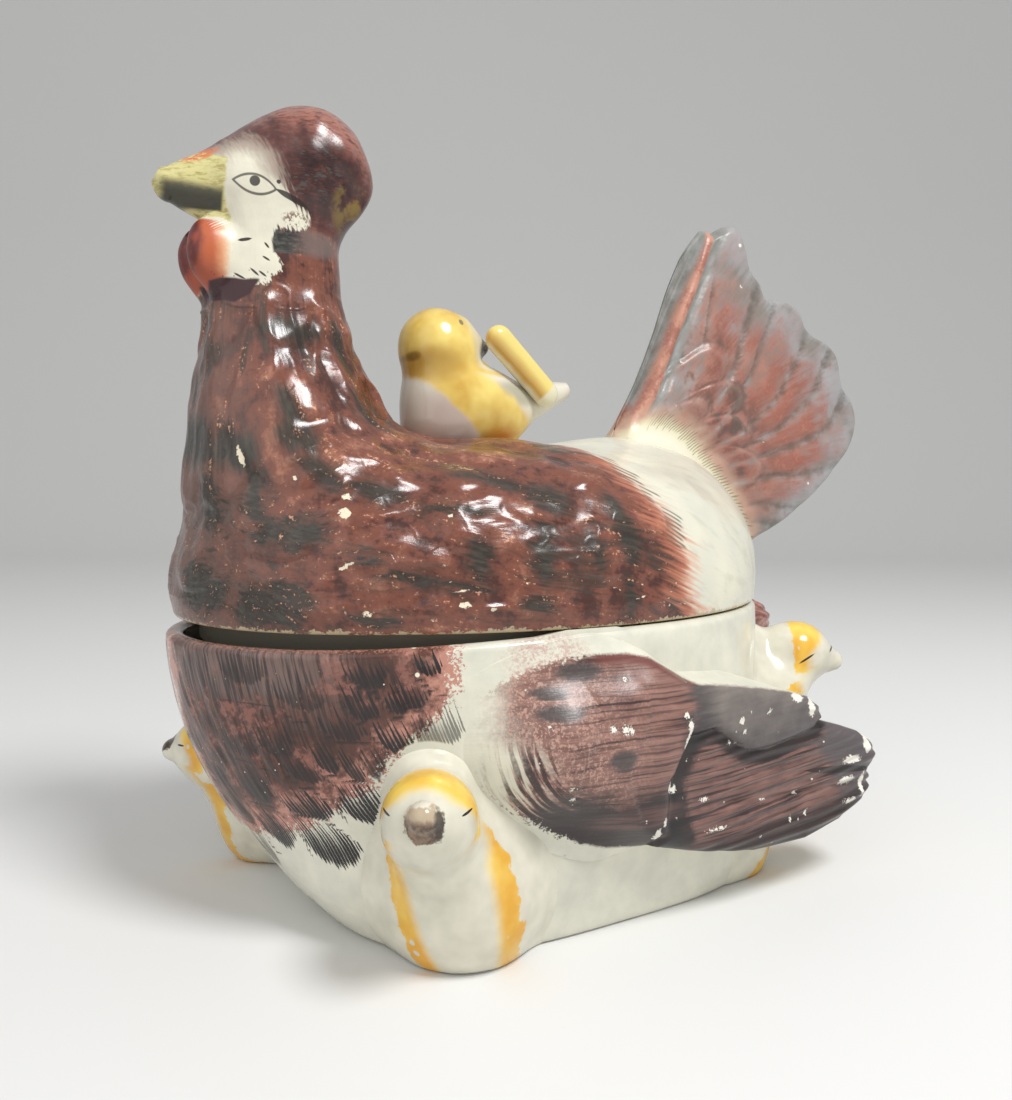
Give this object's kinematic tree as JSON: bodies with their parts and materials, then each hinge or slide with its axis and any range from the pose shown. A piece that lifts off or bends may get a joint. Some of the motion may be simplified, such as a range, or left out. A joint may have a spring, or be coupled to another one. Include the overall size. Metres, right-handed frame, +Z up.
{
  "type": "hen on nest dish",
  "caption": "Lidded pottery dish shaped as a sitting hen; the upper body lifts off, a preening chick on the back is its knob and chicks and wings stand against the dish",
  "frame": {"origin": "Centre of the rim's oval in plan, on the flat foot that the dish stands on", "axes": "+Z up, the hen faces -X, her left side is toward -Y"},
  "size_m": [0.2786, 0.1769, 0.2288],
  "materials": {
    "plumage_glaze": "brown-purple brushed glaze, glossy",
    "tail_glaze": "thin brown and grey-blue glaze, glossy",
    "chick_glaze": "white glaze with yellow painting, glossy",
    "white_glaze": "creamy white glaze with painted feathers, glossy",
    "wing_glaze": "plum-black brushed glaze with worn white chips, glossy"
  },
  "bodies": {
    "dish": {"dish_bowl": "white_glaze", "wing_left": "wing_glaze", "wing_right": "wing_glaze", "tail_tuft": "plumage_glaze", "chick_front_left": "chick_glaze", "chick_rear_left": "chick_glaze", "chick_front_right": "chick_glaze", "chick_rear_right": "chick_glaze"},
    "lid": {"lid_shell": "plumage_glaze", "tail_fan": "tail_glaze", "finial_chick": "chick_glaze", "finial_wing_left": "chick_glaze", "finial_wing_right": "chick_glaze"}
  },
  "joints": [
    {"name": "lid_lift", "type": "slide", "parent": "dish", "child": "lid", "axis": [0, 0, 1], "range_m": [0, 0.12]}
  ]
}
